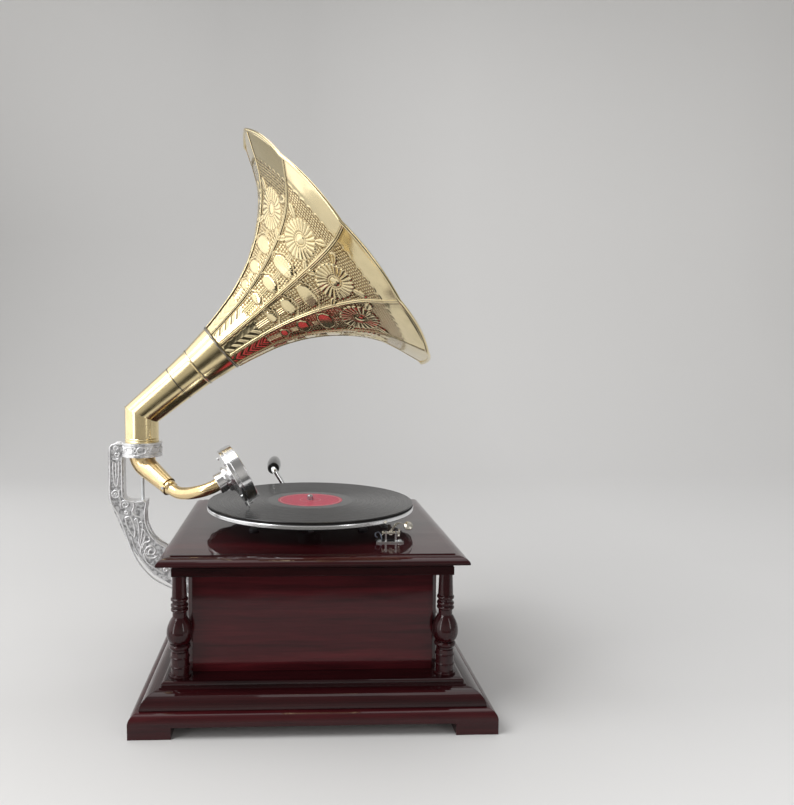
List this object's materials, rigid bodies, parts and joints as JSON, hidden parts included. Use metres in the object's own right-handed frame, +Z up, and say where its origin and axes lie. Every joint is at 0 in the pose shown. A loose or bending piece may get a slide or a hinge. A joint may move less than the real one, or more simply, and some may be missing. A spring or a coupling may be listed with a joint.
{
  "type": "horn gramophone",
  "caption": "Table gramophone: square moulded wooden cabinet with a wind-up motor, turntable with a record, swinging tone arm with sound box, and a tall petalled brass horn.",
  "frame": {"origin": "on the floor under the middle of the whole object's box", "axes": "+X from the bracket towards the horn's mouth side, +Y from the front with the brake towards the crank, +Z up"},
  "size_m": [0.4292, 0.454, 0.6395],
  "materials": {
    "wood_base": "gloss",
    "wood_panel": "gloss",
    "wood_turned": "gloss",
    "wood_top": "gloss",
    "brass": "polished",
    "brass_sheet": "polished",
    "brass_dull": "satin",
    "chrome": "polished",
    "steel": "satin",
    "spring_steel": "satin",
    "cast_metal": "polished",
    "rubber": "matte",
    "felt": "matte",
    "record_black": "gloss",
    "label": "satin",
    "black_handle": "gloss",
    "diaphragm": "satin"
  },
  "bodies": {
    "cabinet": {"feet": "wood_base", "base_board": "wood_base", "base_moulding": "wood_base", "wood_screws": "steel", "front_panel": "wood_panel", "back_panel": "wood_panel", "side_panels": "wood_panel", "corner_pillars": "wood_turned", "frieze": "wood_base", "top_board": "wood_top", "motor_plates": "steel", "motor_pillars": "brass_dull", "motor_washers": "rubber", "motor_bolts": "steel", "governor_bearings": "steel", "winding_bearing": "steel", "crank_escutcheon": "chrome", "brake_base": "chrome", "brake_rod": "chrome", "brake_spring": "spring_steel", "bracket": "cast_metal", "pivot_pin": "steel"},
    "platter": {"spindle": "steel", "worm_wheel": "brass_dull", "turntable": "chrome", "turntable_felt": "felt", "record": "record_black", "record_label": "label"},
    "intermediate": {"intermediate_wheel": "brass_dull"},
    "barrel": {"spring_barrel": "brass_dull", "barrel_cover": "brass_dull", "mainspring": "spring_steel"},
    "arbor": {"winding_arbor": "steel"},
    "governor": {"governor_shaft": "steel", "friction_disc": "brass_dull", "governor_weights": "steel", "governor_springs": "spring_steel"},
    "regulator": {"speed_lever": "steel"},
    "crank": {"winding_shaft": "steel", "crank_rod": "chrome"},
    "handle": {"crank_handle": "black_handle"},
    "click": {"click_pawl": "steel"},
    "brake": {"brake_lever": "chrome", "brake_pad": "felt"},
    "arm": {"tone_arm": "brass", "crook_pins": "steel"},
    "swan_neck": {"crook": "brass"},
    "sound_box": {"soundbox_back": "chrome", "soundbox_body": "chrome", "soundbox_screws": "steel", "diaphragm": "diaphragm", "gaskets": "rubber", "stylus_bar": "chrome", "needle": "steel"},
    "thumb_screw": {"needle_screw": "chrome"},
    "elbow_piece": {"elbow": "brass"},
    "bell": {"horn_neck": "brass", "horn_petals": "brass_sheet", "horn_seams": "brass", "horn_wire": "brass"}
  },
  "joints": [
    {"name": "turntable_spin", "type": "hinge", "parent": "cabinet", "child": "platter", "pos_m": [0.0289, -0.0413, 0.2013], "axis": [0, 0, 1], "continuous": true},
    {"name": "intermediate_spin", "type": "hinge", "parent": "cabinet", "child": "intermediate", "pos_m": [0.05717, -0.02631, 0.12], "axis": [0, 0, 1], "continuous": true},
    {"name": "barrel_spin", "type": "hinge", "parent": "cabinet", "child": "barrel", "pos_m": [0.0289, 0.0087, 0.1], "axis": [0, 0, 1], "continuous": true},
    {"name": "governor_spin", "type": "hinge", "parent": "cabinet", "child": "governor", "pos_m": [0.0289, -0.0643, 0.122], "axis": [1, 0, 0], "continuous": true},
    {"name": "regulator_turn", "type": "hinge", "parent": "cabinet", "child": "regulator", "pos_m": [0.027, -0.0813, 0.085], "axis": [0, 0, 1], "range_deg": [-8, 3]},
    {"name": "crank_spin", "type": "hinge", "parent": "cabinet", "child": "crank", "pos_m": [0.0289, 0.0907, 0.1318], "axis": [0, 1, 0], "continuous": true},
    {"name": "arbor_spin", "type": "hinge", "parent": "cabinet", "child": "arbor", "pos_m": [0.0289, 0.0087, 0.14], "axis": [0, 0, 1], "continuous": true},
    {"name": "handle_spin", "type": "hinge", "parent": "crank", "child": "handle", "pos_m": [-0.02108, 0.1837, 0.214], "axis": [0, 1, 0], "continuous": true},
    {"name": "click_lift", "type": "hinge", "parent": "cabinet", "child": "click", "pos_m": [0.0459, 0.0407, 0.1418], "axis": [0, 1, 0], "range_deg": [-2, 10]},
    {"name": "brake_turn", "type": "hinge", "parent": "cabinet", "child": "brake", "pos_m": [0.1154, -0.1383, 0.1857], "axis": [1, 0, 0], "range_deg": [0, 16]},
    {"name": "arm_swing", "type": "hinge", "parent": "cabinet", "child": "arm", "pos_m": [-0.1754, -0.0413, 0.266], "axis": [0, 0, 1], "range_deg": [-40, 25]},
    {"name": "neck_lift", "type": "hinge", "parent": "arm", "child": "swan_neck", "pos_m": [-0.13868, -0.06947, 0.22558], "axis": [-0.6088, -0.7934, 0], "range_deg": [0, 40]},
    {"name": "sound_box_turn", "type": "hinge", "parent": "swan_neck", "child": "sound_box", "pos_m": [-0.06346, -0.09681, 0.242], "axis": [0.8508, 0.236, 0.4695], "range_deg": [-100, 100]},
    {"name": "needle_screw_turn", "type": "hinge", "parent": "sound_box", "child": "thumb_screw", "pos_m": [-0.045, -0.09169, 0.20915], "axis": [0.8508, 0.236, 0.4695], "continuous": true},
    {"name": "horn_turn", "type": "hinge", "parent": "cabinet", "child": "elbow_piece", "pos_m": [-0.1754, -0.0413, 0.27], "axis": [0, 0, 1], "continuous": true},
    {"name": "horn_pull", "type": "slide", "parent": "elbow_piece", "child": "bell", "axis": [0.7683, 0, 0.6401], "range_m": [0, 0.06]}
  ],
  "couplings": [
    {"joint": "intermediate_spin", "follows": "turntable_spin", "ratio": -0.33333},
    {"joint": "barrel_spin", "follows": "turntable_spin", "ratio": 0.066667},
    {"joint": "governor_spin", "follows": "turntable_spin", "ratio": 12},
    {"joint": "arbor_spin", "follows": "crank_spin", "ratio": -0.5}
  ]
}
